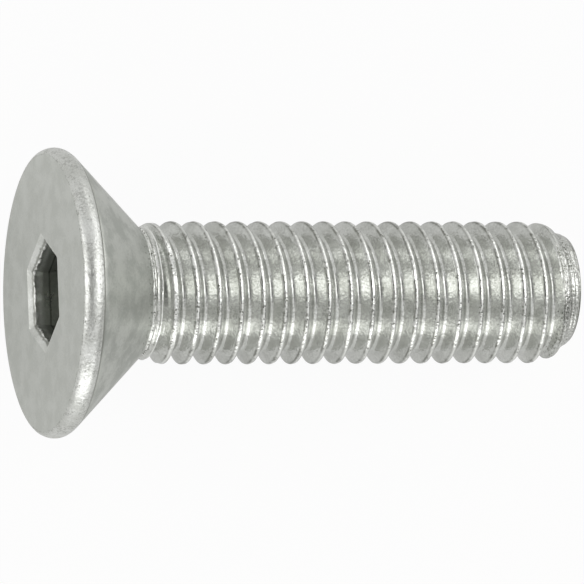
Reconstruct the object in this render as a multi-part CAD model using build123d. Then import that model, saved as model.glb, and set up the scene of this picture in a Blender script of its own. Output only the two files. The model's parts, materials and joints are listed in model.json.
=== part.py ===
from build123d import *
from math import atan2, ceil, cos, degrees, floor, radians, sin, tan
import os

# Countersunk screw with a hexagon socket, fully threaded, M8 x 1.25, 30 mm long over the head.
# One solid, cold headed and thread rolled. Millimetres and degrees throughout.
#
# The screw is built upright, with the middle of the head's face at the origin and the point
# towards +Z, and is then laid down as it comes to rest, on its rim and its last full crest.

# Whole screw
length = 29.95                  # over the head; a nominal 30 may be 29.58 to 30.42

# Thread
pitch = 1.25                    # right-handed
crest_diameter = 7.8            # over the crests, near the low end of the tolerance for M8
crest_width = 0.28              # flat along the top of the thread
flank_angle = 30.0              # each side, from a plane square to the axis
flank_depth = 0.37              # straight part of the flank, measured radially
root_depth = 0.69               # from crest to root: the last part closes the rounded root
crest_place = 0.94              # along the axis, from the face to a crest line at angle 0

# Neck of plain blank, left between the head and the thread
neck_depth = 0.35               # below the crests
neck_length = 0.1               # between the cone's rounded end and the first raised thread
crest_runout = 1.2              # the crests rise out of the neck over this length
root_runout = 0.75              # the roots sink below the neck over this length
neck_chamfer = 0.12             # eases the corner between cone and neck

# Head
rim_diameter = 15.76
rim_height = 0.93               # from the face to where the cone begins
cone_angle = 90.0               # whole angle
rim_front_rounding = 0.35       # in two flats, which keeps the solid's facets few
rim_back_chamfer = 0.1

# Hexagon socket
socket_flats = 5.0              # across flats, for a 5 mm key
socket_depth = 3.5              # of the flats
socket_chamfer = 0.33           # round the mouth
socket_floor_depth = 0.45       # shallow cone left by the punch
socket_floor_flat = 0.8         # diameter of the flat at its middle
socket_turn = -7.0              # a corner's place, from angle 0

# Point
lead_length = 1.25              # over this length the crests come down towards the point
lead_drop = 0.2
point_length = 0.9              # chamfer between there and the flat end
point_drop = 0.75

# Reach of the cutting shapes past what they cut
clearance = 0.3

crest_radius = crest_diameter / 2
flank_end_radius = crest_radius - flank_depth
root_radius = crest_radius - root_depth
neck_radius = crest_radius - neck_depth
lead_radius = crest_radius - lead_drop
point_radius = lead_radius - point_drop
rim_radius = rim_diameter / 2
clear_radius = crest_radius + clearance

cone_slope = tan(radians(cone_angle / 2))
cone_end = rim_height + (rim_radius - neck_radius) / cone_slope
thread_start = cone_end + neck_chamfer + neck_length
lead_end = length - point_length
lead_start = lead_end - lead_length


def revolved(outline):
    """A solid turned about the screw's axis from a closed outline of (radius, height) points."""
    return revolve(Plane.XZ * make_face(outline), Axis.Z)


def head_and_neck():
    """Head, neck, and the core that fills the first grooves until they reach full depth."""
    root_full = thread_start + root_runout
    inner_radius = root_radius - clearance
    inner_end = root_full + clearance * root_runout / (neck_radius - root_radius)
    rounding_middle = rim_front_rounding * (1 - sin(radians(45)))
    outline = Polyline(
        (0, 0),
        (rim_radius - rim_front_rounding, 0),
        (rim_radius - rounding_middle, rounding_middle),
        (rim_radius, rim_front_rounding),
        (rim_radius, rim_height - rim_back_chamfer),
        (rim_radius - rim_back_chamfer, rim_height + rim_back_chamfer * cone_slope),
        (neck_radius + neck_chamfer, cone_end - neck_chamfer / cone_slope),
        (neck_radius, cone_end + neck_chamfer),
        (neck_radius, thread_start),
        (inner_radius, inner_end),
        (0, inner_end),
        close=True,
    )
    return revolved(outline)


def hexagon_socket():
    """The socket's flats with the cone below them, as a solid to cut away."""
    flats = extrude(
        RegularPolygon(socket_flats / 2, 6, major_radius=False, rotation=socket_turn),
        socket_depth,
    )
    floor_cone = Cone(
        socket_flats / 2,
        socket_floor_flat / 2,
        socket_floor_depth,
        align=(Align.CENTER, Align.CENTER, Align.MIN),
    )
    return flats + Pos(0, 0, socket_depth) * floor_cone


def head_with_socket():
    """The head with its socket cut and the socket's mouth chamfered."""
    head = head_and_neck() - hexagon_socket()
    mouth = head.edges().filter_by(GeomType.LINE).group_by(Axis.Z)[0]
    return chamfer(mouth, socket_chamfer)


def thread_profile():
    """One pitch of the thread as (height, radius) corners, from crest to crest."""
    half_crest = crest_width / 2
    flank_end = half_crest + flank_depth * tan(radians(flank_angle))
    return [
        (-half_crest, crest_radius),
        (half_crest, crest_radius),
        (flank_end, flank_end_radius),
        (pitch / 2, root_radius),
        (pitch - flank_end, flank_end_radius),
        (pitch - half_crest, crest_radius),
    ]


def threaded_rod():
    """A threaded rod longer than the screw's thread, as one shell of helical strips.

    Each strip runs between two helices one turn long, and every turn is a copy of the first.
    A ramp and a flat wall close each end.
    """
    first_turn = floor((thread_start - crest_place) / pitch) - 2
    last_turn = ceil((length - crest_place) / pitch) + 1
    base = crest_place + first_turn * pitch
    turns = last_turn - first_turn

    helices = [
        Helix(pitch, pitch, radius, center=(0, 0, base + height)).edge()
        for height, radius in thread_profile()
    ]
    strips = [
        Face.make_surface_from_curves(lower, upper)
        for lower, upper in zip(helices, helices[1:])
    ]
    axis = Edge.make_line((0, 0, base - crest_width / 2), (0, 0, base - crest_width / 2 + pitch))
    ramp = Face.make_surface_from_curves(axis, helices[0])
    wall = Face(Wire.make_polygon([axis @ 0] + [helix @ 0 for helix in helices] + [axis @ 1]))

    faces = [Pos(0, 0, turn * pitch) * strip for turn in range(turns) for strip in strips]
    faces += [Pos(0, 0, turn * pitch) * end for turn in (0, turns) for end in (ramp, wall)]
    return Solid(Shell(faces))


def thread_envelope():
    """What the thread is trimmed to: it rises from the neck, and tapers and ends at the point."""
    rise = crest_runout / (crest_radius - neck_radius)
    taper = lead_length / (crest_radius - lead_radius)
    outline = Polyline(
        (0, thread_start),
        (neck_radius, thread_start),
        (clear_radius, thread_start + rise * (clear_radius - neck_radius)),
        (clear_radius, lead_start - taper * clearance),
        (lead_radius, lead_end),
        (point_radius, length),
        (0, length),
        close=True,
    )
    return revolved(outline)


def laid_down(upright):
    """The screw at rest, point towards +X, with the middle of its box's underside at the origin."""
    tilt = atan2(rim_radius - crest_radius, lead_start - rim_height)
    towards_point = (cos(tilt), 0, -sin(tilt))
    lying = Plane(origin=(0, 0, 0), x_dir=(0, 1, 0), z_dir=towards_point) * upright
    box = lying.bounding_box()
    print(f"tilt of the axis at rest {degrees(tilt):.2f} degrees")
    return Pos(-box.center().X, -box.center().Y, -box.min.Z) * lying


thread = threaded_rod() & thread_envelope()
screw = laid_down(head_with_socket() + thread)

os.makedirs("parts", exist_ok=True)
export_step(screw, "parts/screw.step")
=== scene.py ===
import json
import math
from functools import partial, reduce
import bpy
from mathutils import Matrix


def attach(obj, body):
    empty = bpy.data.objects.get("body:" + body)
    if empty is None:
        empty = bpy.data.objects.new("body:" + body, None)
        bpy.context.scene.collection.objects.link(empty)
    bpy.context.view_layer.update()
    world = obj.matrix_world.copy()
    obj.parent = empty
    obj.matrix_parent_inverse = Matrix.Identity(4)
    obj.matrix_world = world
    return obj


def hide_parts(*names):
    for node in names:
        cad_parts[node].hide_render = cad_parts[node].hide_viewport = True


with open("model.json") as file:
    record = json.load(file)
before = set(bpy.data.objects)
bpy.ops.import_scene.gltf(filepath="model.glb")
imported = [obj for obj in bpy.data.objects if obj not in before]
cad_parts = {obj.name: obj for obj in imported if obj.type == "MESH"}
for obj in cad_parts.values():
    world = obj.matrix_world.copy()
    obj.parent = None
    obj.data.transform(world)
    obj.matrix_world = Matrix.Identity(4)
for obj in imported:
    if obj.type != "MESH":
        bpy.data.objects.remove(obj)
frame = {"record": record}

from types import SimpleNamespace

import bpy
import numpy as np
from bpy.props import FloatProperty, FloatVectorProperty, IntProperty, PointerProperty
from bpy.types import NodeSocket, Operator, Panel, PropertyGroup
from mathutils import Matrix, Vector

bl_info = {
    "name": "Countersunk socket screw",
    "version": (1, 0, 0),
    "blender": (4, 5, 0),
    "location": "View3D > Sidebar > Screw",
    "description": "Dresses the solid of a countersunk socket screw and sets up a studio for it",
    "category": "Add Mesh",
}

# Lengths are worked out in millimetres along and around the screw's own axis, x from the head's
# face towards the point, and are turned into the frame's metres at the end.
MM = 0.001
TURN = 2 * math.pi
COLUMNS = 120                   # round the screw, a multiple of six for the socket's corners
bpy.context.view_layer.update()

NECK = 5.1                      # where the cone ends
NECK_END = 5.86                 # where the rings of the neck give way to the thread's own rows
NECK_STEP = 0.03
NECK_WANDER = 0.02              # how far the rolled lips in the neck stray along it
NECK_LIPS = ((5.28, 0.11), (5.69, 0.13))    # their places and widths
CREST_UNEVEN = 0.006
NICK_LENGTH = 0.12              # of a dent, across the crest
POINT = 28.9                    # where the turned ridges of the point begin
POINT_RIDGES = (0.24, 0.02)     # from one ridge to the next, and their height
POINT_ASIDE = 0.10              # how far off the axis the point was cut
END_RADIUS = 2.95
END_ROUNDING = 0.05             # from the last row of the thread to the flat end
CONE_SHARE = 0.293              # of the back rounding, 1 - cos 45 degrees, where the cone starts
FLANK_SLOPE = math.tan(math.radians(60))
WAVE_COUNT = 24                 # in a patch of unevenness
SEAM = 0.012                    # kept clear between the thread's rows and the rings at its ends
SHARP_EDGE = math.radians(38)

# The lip of the socket, in shares of its chamfer (down from the face, out from the flats).
LIP_CURVE = ((1.15, 0.0), (0.95, 0.03), (0.86, 0.12), (0.66, 0.30), (0.48, 0.46), (0.36, 0.62),
             (0.22, 0.80), (0.07, 0.94))
# The front edge of the rim, as (from the face, in from the rim).
RIM_CURVE = ((0.04, 0.27), (0.09, 0.20), (0.16, 0.135), (0.26, 0.08), (0.38, 0.035), (0.48, 0.01))

# Depths of the finish.
HEADED_GRAIN, THREAD_GRAIN, CREST_GRAIN, ROUGH_GRAIN = 0.006, 0.018, 0.022, 0.03
EVEN_DENTS, THREAD_DENTS, RIM_DENTS = 0.004, 0.008, 0.009
STREAK_DEPTH, PIT_DEPTH = 0.003, 0.012
STREAK_SCALES = (16.0, 0.9, 0.9)    # per millimetre along the axis and across it

# Roughness of the steel as headed and as torn, where it is clean and in dull patches, and what
# dull patches and pits add to the roughness of the thread.
CLEAN_ROUGHNESS, DULL_ROUGHNESS = (0.34, 0.60), (0.42, 0.65)
DULL_MORE, PIT_MORE = 0.08, 0.1

# Shares of wear on clean and on dragged steel, but for the crests the last pair is the share of
# painted shade: a dark line beside each crest.
THREAD_WEAR, RIM_WEAR = (0.28, 0.52), (0.25, 0.6)
CREST_SPECKS, CREST_SHINE, CREST_EDGE_SHADE = (0.06, 0.8), (0.9, 0.4), (0.35, 0.85)
# Shares of wear that are the same all over a place.
TIP_WEAR, EVEN_WEAR = 0.8, 0.08
NECK_SPECKS, TIP_SPECKS = 0.42, 0.25

# The studio, in metres.
LAMP_DISTANCE = 0.5
LAMP_TARGET = Vector((0, 0, 0.006))
FLOOR_HALF = 2.0
CAMERA_LEFT = 0.7537 * MM
CAMERA_UP = 0.037 * MM
# Dim parts of the room, as (turn, reach, half width, half height) in degrees, with the shares of
# their size at which they begin and stop fading.
DIM_PARTS = ((5, -9, 31, 13), (-73, 71, 34, 18))
DIM_FADE = (0.6, 1.4)


# ---------------------------------------------------------------- sizes and colours

def length_prop(name, default_mm, description):
    return FloatProperty(
        name=name, description=description, default=default_mm * MM, min=0.0,
        unit="LENGTH", subtype="DISTANCE", precision=6,
    )


def angle_prop(name, default_degrees, description):
    return FloatProperty(
        name=name, description=description, default=math.radians(default_degrees),
        unit="ROTATION", subtype="ANGLE",
    )


def share_prop(name, default, description):
    return FloatProperty(
        name=name, description=description, default=default, min=0.0, max=1.0, subtype="FACTOR",
    )


def colour_prop(name, default, description):
    return FloatVectorProperty(
        name=name, description=description, default=default, size=3,
        min=0.0, max=1.0, subtype="COLOR",
    )


class ScrewSizes(PropertyGroup):
    """Sizes of the dressed screw, matched to its solid."""

    length: length_prop("Length", 29.95, "From the head's face to the point")
    pitch: length_prop("Pitch", 1.25, "From one crest to the next")
    crest_radius: length_prop("Crest radius", 3.9, "Over the full crests")
    crest_width: length_prop("Crest width", 0.275, "Flat along the top of the thread")
    crest_place: length_prop("Crest place", 1.01, "From the face to a crest line at angle 0")
    crest_bend: length_prop("Crest bend", 0.28, "Radius across the top of the thread")
    root_bend: length_prop("Root bend", 0.22, "Radius across the bottom of the thread")
    root_width: length_prop("Root width", 0.18, "Flat along the bottom of the thread")
    rim_radius: length_prop("Rim radius", 7.88, "Largest radius of the head")
    rim_rounding: length_prop("Rim rounding", 0.35, "Front edge of the rim")
    back_rounding: length_prop("Rim's back rounding", 0.8, "Between the rim and the cone")
    cone_place: length_prop("Cone place", 8.81, "Where the cone would come to a point")
    socket_flats: length_prop("Socket width", 5.0, "Across the socket's flats")
    socket_depth: length_prop("Socket depth", 3.5, "Of the socket's flats")
    socket_chamfer: length_prop("Socket chamfer", 0.33, "Round the socket's mouth")
    socket_turn: angle_prop("Socket turn", -7.17, "Place of one corner of the socket")


class ScrewFinish(PropertyGroup):
    """Colour and wear of the tumbled stainless steel."""

    burnished: colour_prop("Burnished steel", (0.885, 0.895, 0.865), "Rubbed tops of the crests")
    steel: colour_prop("Steel", (0.71, 0.72, 0.695), "Bare steel of the thread and the rim")
    dull: colour_prop("Dull steel", (0.60, 0.61, 0.58), "Bare steel in cloudy patches")
    matte: colour_prop("Matte steel", (0.615, 0.63, 0.595), "Headed steel of the face")
    matte_dull: colour_prop("Dull matte steel", (0.55, 0.565, 0.53), "Cone, and face in patches")
    darkest: colour_prop("Dullest steel", (0.41, 0.425, 0.395), "Cone in cloudy patches")
    worn: colour_prop("Dragged steel", (0.33, 0.335, 0.31), "Fine grain of the thread and the rim")
    # The pitted steel's colour also paints the shade of the dark lines beside the crests, in the
    # groove behind the rim, round the flat end and round the socket's lip.
    shade: colour_prop("Pitted steel", (0.155, 0.16, 0.135), "Pits, specks and edge lines")
    roughness: share_prop("Roughness", 0.19, "Of the tumbled steel")
    nicks: IntProperty(name="Nicks", description="Dents in the crests", default=90, min=0)


class StudioSettings(PropertyGroup):
    """Camera, light and floor."""

    distance: FloatProperty(
        name="Camera distance", description="From the screw's axis", default=0.521, unit="LENGTH",
        subtype="DISTANCE",
    )
    turn: angle_prop("Camera turn", 18.41, "Between the screw's side and the camera's direction")
    roll: angle_prop("Camera roll", 0.08, "About the direction of view")
    view_width: length_prop("View width", 31.896, "Across the picture at the screw's axis")
    view_middle: length_prop("View middle", 15.0, "From the face to what the camera aims at")
    floor: colour_prop("Floor", (0.65, 0.65, 0.64), "Paper under the screw")
    paper_white: share_prop("Paper white", 0.94, "Plain white in the paper as it is seen")
    paper_glow: share_prop("Paper glow", 0.28, "Plain white in the paper as the steel mirrors it")
    lens_shade: colour_prop("Lens shade", (0.06, 0.06, 0.055), "Dim parts of the room")
    sky: FloatProperty(
        name="Room light", description="Brightness of the pale room", default=0.85, min=0.0,
    )


class Sizes:
    """The property group's sizes in millimetres, with the edges that follow from them."""

    def __init__(self, group):
        for name in group.__annotations__:
            value = getattr(group, name)
            setattr(self, name, value if name == "socket_turn" else value / MM)
        self.flats = self.socket_flats / 2
        self.mouth = self.flats + self.socket_chamfer
        self.face_edge = self.rim_radius - self.rim_rounding
        self.cone_edge = self.cone_place - self.rim_radius + self.back_rounding * CONE_SHARE


def resting_place():
    """A matrix from the screw's own axes in millimetres to the frame, read from its mount."""
    mount = next(m for m in frame["record"]["mounts"] if m["name"] == "hexagon_socket")
    along = -Vector(mount["axis"]).normalized()
    level = Vector((0, 1, 0))
    up = along.cross(level)
    turned = Matrix((along, level, up)).transposed().to_4x4()
    return Matrix.Translation(mount["pos_m"]) @ turned @ Matrix.Scale(MM, 4)


# ---------------------------------------------------------------- shape of the screw

def soft_min(first, second, rounding):
    """The smaller of two values, rounded where they cross."""
    return (first + second - np.sqrt((first - second) ** 2 + rounding ** 2)) / 2


def bump_at(value, middle, width):
    return np.exp(-((value - middle) / width) ** 2)


def profile(x, points):
    """The radius at x on the straight lines between (place, radius) points."""
    places, radii = zip(*points)
    return np.interp(x, places, radii)


def waves(position, angle, seed, most):
    """Smooth, repeatable unevenness between about -1 and 1 over the screw's surface: a sum of
    waves, each with fewer than a given number of periods round the axis."""
    rng = np.random.default_rng(seed)
    total = np.zeros(np.broadcast(position, angle).shape)
    for _ in range(WAVE_COUNT):
        along = rng.normal(0, 3.0)
        around = rng.integers(1, most)
        total += np.sin(along * position + around * angle + rng.uniform(0, TURN))
    return total / math.sqrt(WAVE_COUNT)


def off_crest(size, x, angle):
    """Distance along the axis from the nearest crest line."""
    turns = (x - size.crest_place) / size.pitch - angle / TURN
    return (turns - np.round(turns)) * size.pitch


def tooth_radius(size, off):
    """Radius of the full thread at a distance along the axis from its crest line."""
    half_pitch, half_crest = size.pitch / 2, size.crest_width / 2
    root_radius = size.crest_radius - (half_pitch - size.root_width / 2 - half_crest) * FLANK_SLOPE
    corner = size.crest_radius - half_crest ** 2 / (2 * size.crest_bend) + half_crest * FLANK_SLOPE
    crest = size.crest_radius - off ** 2 / (2 * size.crest_bend)
    from_root = np.minimum(half_pitch - np.abs(off), size.root_bend)
    root = root_radius + from_root ** 2 / (2 * size.root_bend)
    # The rolling dies left the crest's edge sharper on the head's side.
    edge_rounding = np.where(off < 0, 0.015, 0.04)
    radius = soft_min(crest, corner - np.abs(off) * FLANK_SLOPE, edge_rounding)
    return -soft_min(-radius, -root, 0.02)


def thread_rows(size):
    """Places along one pitch, as shares of it from a crest, close together at crest and root."""
    off = np.concatenate([
        np.linspace(-0.625, -0.47, 5), np.linspace(-0.42, -0.20, 4), np.linspace(-0.16, 0.24, 18),
        np.linspace(0.29, 0.43, 4), np.linspace(0.47, 0.60, 4),
    ])
    return np.sort((off / size.pitch) % 1)


def screw_radius(size, x, angle):
    """Radius of the neck, the thread and the point at places along and angles round the axis."""
    off = off_crest(size, x, angle)
    on_crest = np.clip(1 - np.abs(off) / 0.3, 0, 1)
    full = tooth_radius(size, off)
    full = full + on_crest * CREST_UNEVEN * waves(x * 0.2, angle, seed=11, most=32)
    first_turns = profile(x, (
        (5.0, 3.45), (5.315, 3.50), (5.94, 3.80), (6.565, 3.82), (7.2, size.crest_radius + 0.1),
    ))
    wander = NECK_WANDER * waves(0, angle, seed=8, most=10) * np.clip((x - NECK) / 0.1, 0, 1)
    neck = profile(x + wander, (
        (5.10, 3.70), (5.17, 3.575), (5.23, 3.565), (5.29, 3.625), (5.34, 3.60), (5.46, 3.505),
        (5.58, 3.51), (5.66, 3.61), (5.72, 3.61), (5.79, 3.49), (5.95, 3.37), (6.2, 3.21),
        (6.5, 2.9),
    ))
    point = profile(x, (
        (27.4, 4.0), (27.9, 3.885), (28.15, 3.845), (28.6, 3.78), (29.05, 3.60), (29.3, 3.24),
        (29.7, 3.09), (29.9, 2.96), (29.95, 2.93),
    ))
    ridge_step, ridge_height = POINT_RIDGES
    ridges = ridge_height * np.sin(TURN * (x / ridge_step - angle / TURN * 2))
    point = point + ridges * np.clip((x - POINT) / 0.2, 0, 1)
    return np.minimum(np.maximum(np.minimum(full, first_turns), neck), point)


def cut_nicks(size, x, angle, radius, count):
    """Dents left in the crests by other screws in the tumbling drum."""
    rng = np.random.default_rng(77)
    off = off_crest(size, x, angle)
    for _ in range(count):
        place = rng.uniform(6.0, size.length - 1.0)
        where = rng.uniform(0, TURN)
        wide = rng.uniform(0.02, 0.06)
        deep = rng.uniform(0.01, 0.05)
        side = rng.uniform(-0.12, 0.12)
        around = np.angle(np.exp(1j * (angle - where)))
        near = np.abs(x - place) < size.pitch / 2
        dent = bump_at(around, 0, wide) * bump_at(off, side, NICK_LENGTH)
        radius = radius - deep * near * dent
    return radius


# The head is made of rings, each (x, radius, share of hexagon).

def socket_rings(size):
    """From the middle of the socket's floor, up its flats and over its lip to the face."""
    depth, flats, chamfer = size.socket_depth, size.flats, size.socket_chamfer
    rings = [(depth + 0.45, 0.0, 0), (depth + 0.45, 0.4, 0), (depth + 0.22, 1.45, 0),
             (depth + 0.01, flats - 0.06, 0)]
    rings += [(depth * part, flats, 1) for part in (1, 0.8, 0.6, 0.4, 0.25, 0.16, 0.13)]
    rings += [(chamfer * down, flats + chamfer * out, 1) for down, out in LIP_CURVE]
    return rings + [(0.004, size.mouth, 1), (0.0, size.mouth + 0.03, 1)]


def face_rings(size):
    """Over the face, from a hexagon at the socket to a circle at the rim."""
    inner, width = size.mouth + 0.03, 4.7 - size.mouth
    rings = [(0.0, inner + width * part, 1 - part) for part in (0.15, 0.4, 0.7, 1.0)]
    rings += [(0.0, radius, 0) for radius in np.linspace(5.2, size.face_edge - 0.03, 8)]
    return rings + [(0.006, size.face_edge, 0)]


def rim_rings(size):
    """Round the rim, past the fine groove behind it and down the cone."""
    rings = [(x, size.rim_radius - drop, 0) for x, drop in RIM_CURVE]
    back = size.back_rounding
    start = size.cone_place - size.rim_radius - back * math.tan(TURN / 16)
    for bend in (0, 6, 12, 18, 24, 30, 36, 42, 45):
        a = math.radians(bend)
        rings.append((start + back * math.sin(a), size.rim_radius - back * (1 - math.cos(a)), 0))
    edge = rings[-1][0]
    rings += [(edge + past, size.cone_place - edge - drop, 0)
              for past, drop in ((0.03, 0.055), (0.06, 0.06))]
    return rings + [(x, size.cone_place - x, 0) for x in (1.5, 2.0, 2.6, 3.2, 3.8, 4.4, 4.8, 5.0)]


class ScrewSkin:
    """Collects the vertices and faces of the screw's surface."""

    def __init__(self, size, nicks):
        self.size = size
        self.nicks = nicks
        self.angles = size.socket_turn + TURN * np.arange(COLUMNS) / COLUMNS
        self.places = []
        self.faces = []

    def add(self, x, radius, angle):
        aside = POINT_ASIDE * float(np.interp(x, [29.0, 29.7], [0, 1]))
        self.places.append((x, radius * math.cos(angle) + aside, radius * math.sin(angle)))
        return len(self.places) - 1

    def ring(self, x, radius, hexagon=0.0):
        """One ring of vertices, part circle and part hexagon."""
        radius = np.broadcast_to(radius, (COLUMNS,))
        sixth = TURN / 6
        off = np.mod(self.angles - self.size.socket_turn, sixth) - sixth / 2
        if hexagon == 1:
            radius = radius - np.abs(self.torn(x, radius[0]))
        shape = radius * ((1 - hexagon) + hexagon / np.cos(off))
        return [self.add(x, shape[j], self.angles[j]) for j in range(COLUMNS)]

    def torn(self, x, radius):
        """How far the socket's lip, dragged by the punch, stands off its plain shape."""
        out = radius - self.size.flats
        drag = np.interp(out, [0.0, 0.03, 0.16, 0.28], [0.06, 0.09, 0.05, 0.0])
        drag = drag * np.interp(x, [0.0, 0.05, 0.45, 0.6], [0.0, 1.0, 1.0, 0.0])
        return drag * waves(x * 3, self.angles, seed=31, most=64)

    def join(self, first, second):
        for j in range(COLUMNS):
            k = (j + 1) % COLUMNS
            self.faces.append((first[j], first[k], second[k], second[j]))

    def fan(self, ring, x, to_head):
        """Closes a ring with a fan of triangles that looks towards the head or the point."""
        middle = self.add(x, 0.0, 0.0)
        for j in range(COLUMNS):
            k = (j + 1) % COLUMNS
            self.faces.append((middle, ring[k], ring[j]) if to_head else (middle, ring[j], ring[k]))

    def sew(self, loop):
        """Fills the gap between a ring and the thread's rows with a fan from the loop's start."""
        for a, b in zip(loop[1:], loop[2:]):
            self.faces.append((loop[0], a, b))

    def strip(self, before, rings):
        """Joins each of some rings to the one before it, and returns the last."""
        for ring in rings:
            after = self.ring(*ring)
            self.join(before, after)
            before = after
        return before

    def head(self):
        """The head and the neck. Returns the last ring and its place."""
        size = self.size
        middle, first, *rings = socket_rings(size) + face_rings(size) + rim_rings(size)
        before = self.ring(*first)
        self.fan(before, middle[0], to_head=True)
        neck = np.arange(NECK, NECK_END, NECK_STEP)
        rings += [(x, screw_radius(size, x, self.angles)) for x in neck]
        return self.strip(before, rings), neck[-1]

    def thread_grid(self, first_x, last_x):
        """The vertices whose rows follow the helix. Returns their numbers, a row for each place in
        a turn and a column for each angle, with the first angle again as the last column."""
        size = self.size
        rows = thread_rows(size)
        low = int(math.floor((first_x - size.crest_place) / size.pitch)) - 2
        high = int(math.ceil((last_x - size.crest_place) / size.pitch)) + 2
        shares = np.concatenate([rows + turn for turn in range(low, high)])
        x = size.crest_place + size.pitch * (shares[:, None] + self.angles[None, :] / TURN)
        angle = np.broadcast_to(self.angles, x.shape)
        radius = screw_radius(size, x, angle)
        radius = cut_nicks(size, x, angle, radius, self.nicks)
        inside = (x > first_x + SEAM) & (x < last_x - SEAM)
        index = np.full(x.shape, -1)
        for row, column in zip(*np.nonzero(inside)):
            index[row, column] = self.add(x[row, column], radius[row, column], angle[row, column])
        wrapped = np.full((x.shape[0], 1), -1)
        wrapped[:-len(rows), 0] = index[len(rows):, 0]
        return np.hstack([index, wrapped])

    def thread(self, first_ring, first_x, last_x):
        """The thread's own grid, sewn to a ring at each end. Returns the last ring."""
        index = self.thread_grid(first_x, last_x)
        last_ring = self.ring(last_x, screw_radius(self.size, last_x, self.angles))
        for j in range(COLUMNS):
            k = (j + 1) % COLUMNS
            here, there = index[:, j], index[:, j + 1]
            left = np.nonzero(here >= 0)[0]
            right = np.nonzero(there >= 0)[0]
            bottom = max(left[0], right[0])
            top = min(left[-1], right[-1])
            for row in range(bottom, top):
                self.faces.append((here[row], there[row], there[row + 1], here[row + 1]))
            self.sew([first_ring[j], first_ring[k], *there[right[0]:bottom + 1],
                      *here[left[0]:bottom + 1][::-1]])
            self.sew([last_ring[k], last_ring[j], *here[top:left[-1] + 1][::-1],
                      *there[top:right[-1] + 1]])
        return last_ring

    def flat_end(self, before):
        length = self.size.length
        last = self.strip(before, [
            (length - 0.02, END_RADIUS - 0.02), (length, END_RADIUS - 0.06),
            (length, END_RADIUS - 0.4), (length, END_RADIUS * 0.6), (length, END_RADIUS * 0.3),
        ])
        self.fan(last, length, to_head=False)

    def build(self):
        neck, neck_x = self.head()
        self.flat_end(self.thread(neck, neck_x, self.size.length - END_ROUNDING))


def screw_mesh(size, nicks):
    skin = ScrewSkin(size, nicks)
    skin.build()
    place = resting_place()
    mesh = bpy.data.meshes.new("dressed_screw")
    mesh.from_pydata([place @ Vector(p) for p in skin.places], [], skin.faces)
    mesh.validate()
    mesh.shade_smooth()
    mesh.set_sharp_from_angle(angle=SHARP_EDGE)
    return mesh


# ---------------------------------------------------------------- nodes

# Sockets of a Mix node: the first and second value and the result.
MIX_SOCKETS = {"FLOAT": (2, 3, 0), "RGBA": (6, 7, 2)}


class Sheet:
    """Lays out the nodes of one material, world or group and joins them."""

    def __init__(self, tree):
        self.tree = tree

    def feed(self, value, socket):
        if isinstance(value, NodeSocket):
            self.tree.links.new(value, socket)
        else:
            socket.default_value = value

    def add(self, kind, sockets=None, **settings):
        node = self.tree.nodes.new("ShaderNode" + kind)
        for name, value in settings.items():
            setattr(node, name, value)
        for name, value in (sockets or {}).items():
            self.feed(value, node.inputs[name])
        return node

    def use(self, group, sockets=None):
        """Places a node group with the given values and returns its outputs."""
        return self.add("Group", sockets, node_tree=group).outputs

    def maths(self, operation, *values):
        node = self.add("Math", operation=operation)
        for value, socket in zip(values, node.inputs):
            self.feed(value, socket)
        return node.outputs[0]

    def plus(self, *values):
        return reduce(partial(self.maths, "ADD"), values)

    def minus(self, first, second):
        return self.maths("SUBTRACT", first, second)

    def times(self, *values):
        return reduce(partial(self.maths, "MULTIPLY"), values)

    def largest(self, *values):
        return reduce(partial(self.maths, "MAXIMUM"), values)

    def rise(self, value, low, high, top=1.0):
        """A smooth step from 0 to its top between two limits of a value."""
        return self.step(value, low, high, 0.0, top)

    def fall(self, value, low, high, top=1.0):
        """A smooth step from its top to 0 between two limits of a value."""
        return self.step(value, low, high, top, 0.0)

    def step(self, value, low, high, first, second):
        return self.add("MapRange", {
            "Value": value, "From Min": low, "From Max": high, "To Min": first, "To Max": second,
        }, interpolation_type="SMOOTHSTEP").outputs["Result"]

    def band(self, value, middle, width):
        """1 where a value is at the middle of a band, falling to 0 at its edges."""
        return self.fall(self.maths("ABSOLUTE", self.minus(value, middle)), 0.0, width)

    def noise(self, place, scale, detail=2.0, roughness=0.5):
        return self.add("TexNoise", {
            "Vector": place, "Scale": scale, "Detail": detail, "Roughness": roughness,
        }).outputs["Fac"]

    def mix(self, factor, first, second, kind="FLOAT"):
        """A value, or a colour with kind "RGBA", between two, by a factor from 0 to 1."""
        node = self.add("Mix", data_type=kind, clamp_factor=True)
        first_socket, second_socket, result = MIX_SOCKETS[kind]
        self.feed(factor, node.inputs[0])
        self.feed(first, node.inputs[first_socket])
        self.feed(second, node.inputs[second_socket])
        return node.outputs[result]

    def blend(self, factor, first, second):
        return self.mix(factor, first, second, "RGBA")


def group_sheet(name, inputs, outputs):
    """A new node group with named sockets, its sheet, and the sockets of its two ends."""
    group = bpy.data.node_groups.new(name, "ShaderNodeTree")
    for title, kind, default in inputs:
        socket = group.interface.new_socket(
            name=title, in_out="INPUT", socket_type="NodeSocket" + kind,
        )
        if default is not None:
            socket.default_value = default
    for title, kind in outputs:
        group.interface.new_socket(
            name=title, in_out="OUTPUT", socket_type="NodeSocket" + kind,
        )
    start = group.nodes.new("NodeGroupInput")
    end = group.nodes.new("NodeGroupOutput")
    return group, Sheet(group), start.outputs, end.inputs


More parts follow.
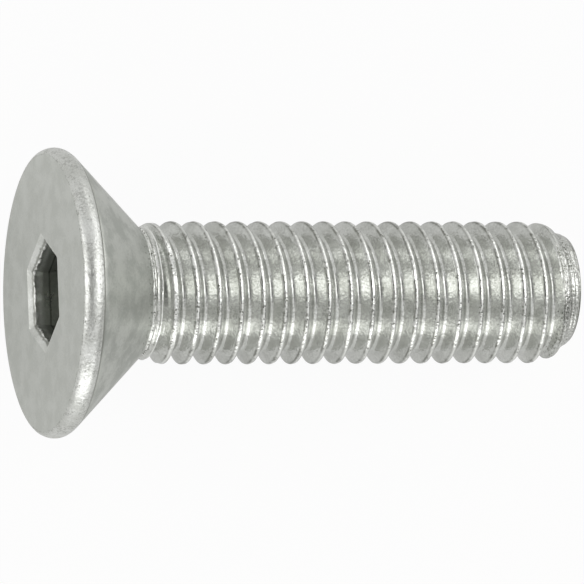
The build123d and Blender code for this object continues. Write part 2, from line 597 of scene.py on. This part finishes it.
def screw_places(size):
    """Where a point is on the screw, in millimetres: along, from and round its axis, from the
    nearest crest line, and across the socket's nearest pair of flats."""
    group, sheet, _, out = group_sheet(
        "Screw places", [],
        [("Place", "Vector"), ("Along", "Float"), ("Level", "Float"), ("Radius", "Float"),
         ("From crest", "Float"), ("Across", "Float")],
    )
    rest = resting_place()
    place = sheet.add("Mapping", {
        "Vector": sheet.add("TexCoord").outputs["Object"], "Location": rest.to_translation(),
        "Rotation": rest.to_3x3().normalized().to_euler(), "Scale": (MM, MM, MM),
    }, vector_type="TEXTURE").outputs["Vector"]
    x, y, z = sheet.add("SeparateXYZ", {"Vector": place}).outputs
    turn = sheet.maths("DIVIDE", sheet.maths("ARCTAN2", z, y), TURN)
    pitches = sheet.maths("DIVIDE", sheet.minus(x, size.crest_place), size.pitch)
    turns = sheet.minus(pitches, turn)
    off = sheet.minus(turns, sheet.maths("ROUND", turns))
    levels = []
    for number in range(3):
        facing = size.socket_turn + TURN * (number + 0.5) / 6
        level = sheet.add("VectorMath", {
            0: place, 1: (0, math.cos(facing), math.sin(facing)),
        }, operation="DOT_PRODUCT").outputs["Value"]
        levels.append(sheet.maths("ABSOLUTE", level))
    sheet.feed(place, out["Place"])
    sheet.feed(x, out["Along"])
    sheet.feed(y, out["Level"])
    sheet.feed(sheet.maths("SQRT", sheet.plus(sheet.times(y, y), sheet.times(z, z))), out["Radius"])
    sheet.feed(sheet.times(off, size.pitch), out["From crest"])
    sheet.feed(sheet.largest(*levels), out["Across"])
    return group


def tumbling_marks():
    """Fine grain and soft dents from the tumbling drum, as a height in millimetres."""
    group, sheet, inlet, out = group_sheet(
        "Tumbling marks",
        [("Place", "Vector", None), ("Grain scale", "Float", 9.0), ("Grain depth", "Float", 0.002),
         ("Dent scale", "Float", 2.0), ("Dent depth", "Float", 0.01)],
        [("Height", "Float")],
    )
    grain = sheet.noise(inlet["Place"], inlet["Grain scale"], detail=1.0, roughness=0.5)
    dents = sheet.noise(inlet["Place"], inlet["Dent scale"], detail=1.0, roughness=0.4)
    sheet.feed(sheet.plus(sheet.times(grain, inlet["Grain depth"]),
                          sheet.times(dents, inlet["Dent depth"])), out["Height"])
    return group


def cloudy_steel():
    """Steel in soft patches of two tones, with a roughness that follows them."""
    group, sheet, inlet, out = group_sheet(
        "Cloudy steel",
        [("Place", "Vector", None), ("Patch scale", "Float", 0.8),
         ("Bare", "Color", (0.6, 0.6, 0.6, 1)), ("Dull", "Color", (0.5, 0.5, 0.5, 1)),
         ("Low roughness", "Float", 0.18), ("High roughness", "Float", 0.3)],
        [("Color", "Color"), ("Roughness", "Float")],
    )
    broad = sheet.noise(inlet["Place"], inlet["Patch scale"], detail=3.0, roughness=0.6)
    fine_scale = sheet.times(inlet["Patch scale"], 11.0)
    fine = sheet.noise(inlet["Place"], fine_scale, detail=2.0, roughness=0.6)
    patch = sheet.rise(sheet.plus(sheet.times(broad, 0.75), sheet.times(fine, 0.25)), 0.38, 0.62)
    sheet.feed(sheet.blend(patch, inlet["Bare"], inlet["Dull"]), out["Color"])
    sheet.feed(sheet.mix(patch, inlet["Low roughness"], inlet["High roughness"]), out["Roughness"])
    return group


def pitting():
    """Scattered pits: a mask of them, for their colour and depth."""
    group, sheet, inlet, out = group_sheet(
        "Pitting",
        [("Place", "Vector", None), ("Pit scale", "Float", 7.0), ("Share", "Float", 0.3)],
        [("Mask", "Float")],
    )
    grains = sheet.noise(inlet["Place"], inlet["Pit scale"], detail=2.0, roughness=0.7)
    where = sheet.noise(inlet["Place"], sheet.times(inlet["Pit scale"], 0.25), detail=1.0)
    level = sheet.plus(sheet.times(grains, 0.7), sheet.times(where, 0.3))
    edge = sheet.minus(0.62, sheet.times(inlet["Share"], 0.2))
    sheet.feed(sheet.rise(level, edge, sheet.plus(edge, 0.06)), out["Mask"])
    return group


def speckle():
    """Small dark specks and a fine unevenness of tone, left where steel has been dragged."""
    group, sheet, inlet, out = group_sheet(
        "Speckle",
        [("Place", "Vector", None), ("Speck scale", "Float", 9.0), ("Share", "Float", 0.2),
         ("Grain scale", "Float", 10.0)],
        [("Specks", "Float"), ("Tone", "Float")],
    )
    cells = sheet.add("TexVoronoi", {"Vector": inlet["Place"], "Scale": inlet["Speck scale"]})
    chance = sheet.add("SeparateColor", {"Color": cells.outputs["Color"]}).outputs["Red"]
    chosen = sheet.maths("LESS_THAN", chance, inlet["Share"])
    dot = sheet.fall(cells.outputs["Distance"], 0.30, 0.55)
    sheet.feed(sheet.times(dot, chosen), out["Specks"])
    grain = sheet.noise(inlet["Place"], inlet["Grain scale"], detail=1.0, roughness=0.6)
    sheet.feed(sheet.rise(grain, 0.35, 0.65), out["Tone"])
    return group


# ---------------------------------------------------------------- finish

def paint(finish, name):
    return (*getattr(finish, name), 1.0)


def screw_zones(sheet, size, spot):
    """Masks, from 0 to 1, of the places on the screw that differ in finish."""
    along, crest, across = spot["Along"], spot["From crest"], spot["Across"]
    flats, mouth, face_edge, cone_edge = size.flats, size.mouth, size.face_edge, size.cone_edge
    ragged = sheet.noise(spot["Place"], 2.5, detail=3.0, roughness=0.7)
    radius = sheet.plus(spot["Radius"], sheet.times(sheet.minus(ragged, 0.5), 0.25))
    thread = sheet.rise(along, NECK - 0.05, NECK + 0.2)
    # Painted shade: a dark line round the edge of the point's flat end.
    end_line_shade = sheet.times(sheet.band(along, size.length - 0.03, 0.16),
                           sheet.rise(spot["Radius"], END_RADIUS - 0.35, END_RADIUS - 0.1))
    return SimpleNamespace(
        socket=sheet.times(sheet.fall(across, flats + 0.02, flats + 0.10),
                           sheet.fall(along, NECK - 0.1, NECK)),
        lip=sheet.times(sheet.fall(across, mouth, mouth + 0.06), sheet.fall(along, 0.6, 0.9)),
        # Painted shade: a dark line just outside the socket's flats, where the rounded lip would
        # mirror a lamp.
        lip_line_shade=sheet.times(sheet.band(across, flats + 0.03, 0.09),
                             sheet.fall(along, 0.4, 0.6, top=0.75)),
        rim=sheet.times(sheet.rise(radius, face_edge - 0.06, face_edge + 0.1),
                        sheet.fall(along, cone_edge - 0.02, cone_edge + 0.04)),
        face_line=sheet.times(sheet.band(radius, face_edge - 0.02, 0.1),
                              sheet.fall(along, 0.1, 0.2)),
        # Painted shade: a dark line in the groove between the rim and the cone, joined with the one
        # at the flat end.
        back_line_shade=sheet.largest(sheet.band(along, cone_edge, 0.09), end_line_shade),
        cone=sheet.rise(along, cone_edge, cone_edge + 0.1),
        neck=sheet.band(along, NECK, 0.45),
        neck_lips=sheet.largest(*(sheet.band(along, place, wide) for place, wide in NECK_LIPS)),
        thread=thread,
        crest=sheet.times(sheet.band(crest, -0.02, 0.17), thread),
        crest_top=sheet.band(crest, 0.01, 0.09),
        crest_flank=sheet.times(sheet.band(crest, -0.05, 0.13), thread),
        # Painted shade: a dark line along each crest's side towards the head.
        crest_edge_shade=sheet.times(sheet.band(crest, -0.12, 0.07), thread),
        tip=sheet.rise(along, POINT - 0.6, POINT),
        dragged=sheet.rise(sheet.noise(spot["Place"], 1.3, detail=2.0, roughness=0.6), 0.45, 0.58),
    )


def steel_height(sheet, zones, place, groups):
    """The height of the finish in millimetres, and the mask of its pits."""
    bare_lip = sheet.times(zones.lip, sheet.minus(1.0, zones.socket))
    rough = sheet.largest(sheet.times(zones.rim, 0.65), sheet.times(zones.tip, 0.6), zones.neck,
                          bare_lip)
    marks = sheet.use(groups["marks"], {
        "Place": place, "Grain scale": 5.5, "Dent scale": 1.3,
        "Grain depth": sheet.plus(sheet.mix(zones.thread, HEADED_GRAIN, THREAD_GRAIN),
                                  sheet.times(zones.crest, CREST_GRAIN),
                                  sheet.times(rough, ROUGH_GRAIN)),
        "Dent depth": sheet.plus(sheet.times(zones.thread, THREAD_DENTS),
                                 sheet.times(zones.rim, RIM_DENTS), EVEN_DENTS),
    })["Height"]
    # The rolling dies drew fine streaks round the thread.
    drawn = sheet.add("VectorMath", {0: place, 1: STREAK_SCALES}, operation="MULTIPLY")
    streaks = sheet.noise(drawn.outputs["Vector"], 1.0, detail=2.0, roughness=0.6)
    pits = sheet.times(zones.rim, sheet.use(groups["pits"], {
        "Place": place, "Pit scale": 9.0,
        "Share": sheet.plus(sheet.times(zones.rim, -0.1), zones.face_line),
    })["Mask"])
    height = sheet.plus(marks, sheet.times(streaks, zones.thread, STREAK_DEPTH),
                        sheet.times(pits, -PIT_DEPTH))
    return height, pits


def clean_steel(sheet, zones, place, finish, groups):
    """The cloudy steel under the wear: bare where it was rolled, rubbed or torn, else as headed.
    Returns its colour and its roughness."""
    bare = sheet.largest(zones.thread, zones.rim, zones.lip)
    light = sheet.blend(zones.cone, paint(finish, "matte"), paint(finish, "matte_dull"))
    dim = sheet.blend(zones.cone, paint(finish, "matte_dull"), paint(finish, "darkest"))
    smooth = sheet.largest(zones.thread, sheet.times(zones.socket, 0.5))
    clean_rough = sheet.mix(zones.lip, *CLEAN_ROUGHNESS)
    dull_rough = sheet.mix(zones.lip, *DULL_ROUGHNESS)
    steel = sheet.use(groups["cloudy"], {
        "Place": place, "Patch scale": 0.7,
        "Bare": sheet.blend(bare, light, paint(finish, "steel")),
        "Dull": sheet.blend(bare, dim, paint(finish, "dull")),
        "Low roughness": sheet.mix(smooth, clean_rough, finish.roughness),
        "High roughness": sheet.mix(smooth, dull_rough, finish.roughness + DULL_MORE),
    })
    return steel["Color"], steel["Roughness"]


def worn_and_shaded_colour(sheet, zones, spot, clean, pits, finish, groups):
    """The clean steel's colour with its wear: dragged grain, burnished crests, and dark specks and
    pits, with painted shade in dark lines beside the crests, behind the rim, round the flat end and
    round the socket's lip."""
    level = spot["Level"]
    rubbed = sheet.largest(zones.dragged, sheet.band(level, -1.0, 1.0))
    fine = sheet.use(groups["speckle"], {
        "Place": spot["Place"], "Speck scale": 8.0, "Grain scale": 9.0,
        "Share": sheet.largest(sheet.times(zones.crest_flank, sheet.mix(rubbed, *CREST_SPECKS)),
                               sheet.times(zones.neck, NECK_SPECKS),
                               sheet.times(zones.tip, TIP_SPECKS)),
    })
    grain = sheet.times(fine["Tone"], sheet.largest(
        sheet.times(zones.thread, sheet.mix(zones.dragged, *THREAD_WEAR)),
        sheet.times(zones.rim, sheet.mix(zones.dragged, *RIM_WEAR)),
        sheet.times(zones.tip, TIP_WEAR), EVEN_WEAR,
    ))
    full_thread = sheet.minus(zones.thread, sheet.times(zones.tip, 0.6))
    burnished = sheet.largest(
        sheet.times(zones.crest_top, sheet.mix(zones.dragged, *CREST_SHINE), full_thread),
        sheet.times(zones.neck_lips, 0.8),
    )
    # The painted shade beside the crests is deeper in dragged patches and in a band along the
    # middle of the screw's top and underside.
    deeper_shade_where = sheet.largest(zones.dragged, sheet.band(level, -0.1, 1.2))
    # Pits and specks are marks in the steel; the other dark lines are painted shade.
    dark = sheet.largest(
        pits, fine["Specks"], sheet.times(zones.crest_edge_shade, sheet.mix(deeper_shade_where, *CREST_EDGE_SHADE)),
        sheet.times(zones.back_line_shade, 0.85), zones.lip_line_shade,
    )
    worn = sheet.blend(grain, clean, paint(finish, "worn"))
    worn = sheet.blend(burnished, worn, paint(finish, "burnished"))
    return sheet.blend(dark, worn, paint(finish, "shade"))


def steel_material(finish, size):
    """Tumbled stainless steel on the face, the rim, the cone and the thread."""
    material = bpy.data.materials.new("tumbled_steel")
    material.use_nodes = True
    sheet = Sheet(material.node_tree)
    groups = {"marks": tumbling_marks(), "cloudy": cloudy_steel(), "pits": pitting(),
              "speckle": speckle()}
    spot = sheet.use(screw_places(size))
    zones = screw_zones(sheet, size, spot)
    height, pits = steel_height(sheet, zones, spot["Place"], groups)
    clean, roughness = clean_steel(sheet, zones, spot["Place"], finish, groups)
    worn = worn_and_shaded_colour(sheet, zones, spot, clean, pits, finish, groups)
    bump = sheet.add("Bump", {"Height": height, "Distance": MM, "Strength": 1.0})
    shader = material.node_tree.nodes["Principled BSDF"]
    # The base colour holds the wear and the painted shade lines.
    sheet.feed(worn, shader.inputs["Base Color"])
    sheet.feed(sheet.plus(roughness, sheet.times(pits, PIT_MORE)), shader.inputs["Roughness"])
    sheet.feed(1.0, shader.inputs["Metallic"])
    sheet.feed(bump.outputs["Normal"], shader.inputs["Normal"])
    return material


def paper_material(studio):
    """Pale paper that is seen as plain white, with the screw's shadow on it."""
    material = bpy.data.materials.new("paper")
    material.use_nodes = True
    sheet = Sheet(material.node_tree)
    paper = material.node_tree.nodes["Principled BSDF"]
    sheet.feed((*studio.floor, 1), paper.inputs["Base Color"])
    sheet.feed(0.9, paper.inputs["Roughness"])
    sheet.feed(0.0, paper.inputs["Specular IOR Level"])
    rays = sheet.add("LightPath").outputs
    whiteness = sheet.largest(
        sheet.times(rays["Is Camera Ray"], studio.paper_white),
        sheet.times(rays["Is Glossy Ray"], studio.paper_glow),
        sheet.times(rays["Is Transmission Ray"], studio.paper_glow),
    )
    white = sheet.add("Emission", {"Strength": 1.0}).outputs["Emission"]
    both = sheet.add("MixShader", {0: whiteness, 1: paper.outputs["BSDF"], 2: white})
    end = material.node_tree.nodes["Material Output"]
    sheet.feed(both.outputs["Shader"], end.inputs["Surface"])
    return material


# ---------------------------------------------------------------- studio

def softbox(name, turn, reach, width, height, brightness):
    """An area lamp aimed at the screw, as bright as the given share of plain white. It stands
    at two angles in degrees: round the frame's X from straight up, and from there along X."""
    lamp = bpy.data.lights.new(name, "AREA")
    lamp.shape = "RECTANGLE"
    lamp.size = width
    lamp.size_y = height
    lamp.energy = 4 * width * height * brightness
    thing = bpy.data.objects.new(name, lamp)
    bpy.context.scene.collection.objects.link(thing)
    turn, reach = math.radians(turn), math.radians(reach)
    across = math.cos(reach)
    direction = Vector((math.sin(reach), across * math.sin(turn), across * math.cos(turn)))
    thing.location = LAMP_TARGET + direction * LAMP_DISTANCE
    thing.rotation_euler = (-direction).to_track_quat("-Z", "Y").to_euler()


def pale_room(studio):
    """A plain pale room, dim where the camera and a dark card stand in it."""
    world = bpy.data.worlds.new("studio")
    world.use_nodes = True
    sheet = Sheet(world.node_tree)
    direction = sheet.add("TexCoord").outputs["Generated"]
    x, y, z = sheet.add("SeparateXYZ", {"Vector": direction}).outputs
    aside = sheet.maths("ARCTAN2", y, z)
    ahead = sheet.maths("ARCSINE", x)
    light = (1, 1, 1, 1)
    for part in DIM_PARTS:
        turn, reach, wide, high = (math.radians(value) for value in part)
        across = sheet.maths("DIVIDE", sheet.minus(aside, turn), wide)
        along = sheet.maths("DIVIDE", sheet.minus(ahead, reach), high)
        off = sheet.plus(sheet.times(across, across), sheet.times(along, along))
        dimness = sheet.fall(sheet.maths("SQRT", off), *DIM_FADE)
        light = sheet.blend(dimness, light, (*studio.lens_shade, 1))
    room = world.node_tree.nodes["Background"]
    sheet.feed(light, room.inputs["Color"])
    sheet.feed(studio.sky, room.inputs["Strength"])
    return world


def paper_floor(studio):
    mesh = bpy.data.meshes.new("floor")
    corners = [(x * FLOOR_HALF, y * FLOOR_HALF, 0) for x, y in ((-1, -1), (1, -1), (1, 1), (-1, 1))]
    mesh.from_pydata(corners, [], [(0, 1, 2, 3)])
    mesh.materials.append(paper_material(studio))
    floor = bpy.data.objects.new("floor", mesh)
    bpy.context.scene.collection.objects.link(floor)
    return floor


def add_camera(studio):
    """A camera that looks at the screw's side, turned a little towards the face of its head."""
    rest = resting_place()
    turned = rest.to_3x3().normalized()
    turn = studio.turn
    right = turned @ Vector((math.cos(turn), 0, math.sin(turn)))
    back = turned @ Vector((-math.sin(turn), 0, math.cos(turn)))
    up = turned @ Vector((0, 1, 0))
    roll = Matrix.Rotation(-studio.roll, 3, back)
    right, up = roll @ right, roll @ up
    data = bpy.data.cameras.new("camera")
    data.sensor_width = 36.0
    data.lens = data.sensor_width * studio.distance / studio.view_width
    data.clip_start = 0.01
    data.clip_end = 10.0
    camera = bpy.data.objects.new("camera", data)
    pivot = rest @ Vector((studio.view_middle / MM, 0, 0))
    place = pivot + back * studio.distance - right * CAMERA_LEFT + up * CAMERA_UP
    axes = Matrix((right, up, back)).transposed().to_4x4()
    camera.matrix_world = Matrix.Translation(place) @ axes
    bpy.context.scene.collection.objects.link(camera)
    bpy.context.scene.camera = camera


# ---------------------------------------------------------------- operators and panel

class SCREW_OT_piece(Operator):
    """Build the dressed screw in place of its solid"""

    bl_idname = "screw.piece"
    bl_label = "Build screw"
    bl_options = {"REGISTER", "UNDO"}

    def execute(self, context):
        scene = context.scene
        size = Sizes(scene.screw_sizes)
        mesh = screw_mesh(size, scene.screw_finish.nicks)
        piece = bpy.data.objects.new("dressed_screw", mesh)
        scene.collection.objects.link(piece)
        mesh.materials.append(steel_material(scene.screw_finish, size))
        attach(piece, "root")
        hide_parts("screw")
        return {"FINISHED"}


class SCREW_OT_studio(Operator):
    """Set up the floor, the lamps, the world and the camera"""

    bl_idname = "screw.studio"
    bl_label = "Set up studio"
    bl_options = {"REGISTER", "UNDO"}

    def execute(self, context):
        scene = context.scene
        studio = scene.screw_studio
        add_camera(studio)
        floor = paper_floor(studio)
        scene.world = pale_room(studio)
        softbox("key", turn=17, reach=43, width=0.30, height=0.345, brightness=1.40)
        softbox("left", turn=14, reach=-63, width=0.345, height=0.465, brightness=1.03)
        softbox("back", turn=84, reach=50, width=0.65, height=0.16, brightness=1.03)
        softbox("front", turn=-75.5, reach=-1, width=0.81, height=0.25, brightness=0.97)
        scene.view_settings.view_transform = "Standard"
        return {"FINISHED"}


class SCREW_PT_panel(Panel):
    """Sizes, finish and studio of the screw"""

    bl_idname = "SCREW_PT_panel"
    bl_label = "Countersunk screw"
    bl_space_type = "VIEW_3D"
    bl_region_type = "UI"
    bl_category = "Screw"

    def draw(self, context):
        for name, (title, _) in SETTINGS.items():
            box = self.layout.box()
            box.label(text=title)
            group = getattr(context.scene, name)
            for prop in group.__annotations__:
                box.prop(group, prop)
        self.layout.operator("screw.piece")
        self.layout.operator("screw.studio")


SETTINGS = {
    "screw_sizes": ("Sizes", ScrewSizes),
    "screw_finish": ("Finish", ScrewFinish),
    "screw_studio": ("Studio", StudioSettings),
}
CLASSES = (
    ScrewSizes, ScrewFinish, StudioSettings, SCREW_OT_piece, SCREW_OT_studio, SCREW_PT_panel,
)


def register():
    for cls in CLASSES:
        bpy.utils.register_class(cls)
    for name, (_, group) in SETTINGS.items():
        setattr(bpy.types.Scene, name, PointerProperty(type=group))


def unregister():
    for name in SETTINGS:
        delattr(bpy.types.Scene, name)
    for cls in reversed(CLASSES):
        bpy.utils.unregister_class(cls)


def main():
    register()
    bpy.ops.screw.piece()
    bpy.ops.screw.studio()


if __name__ == "__main__":
    main()
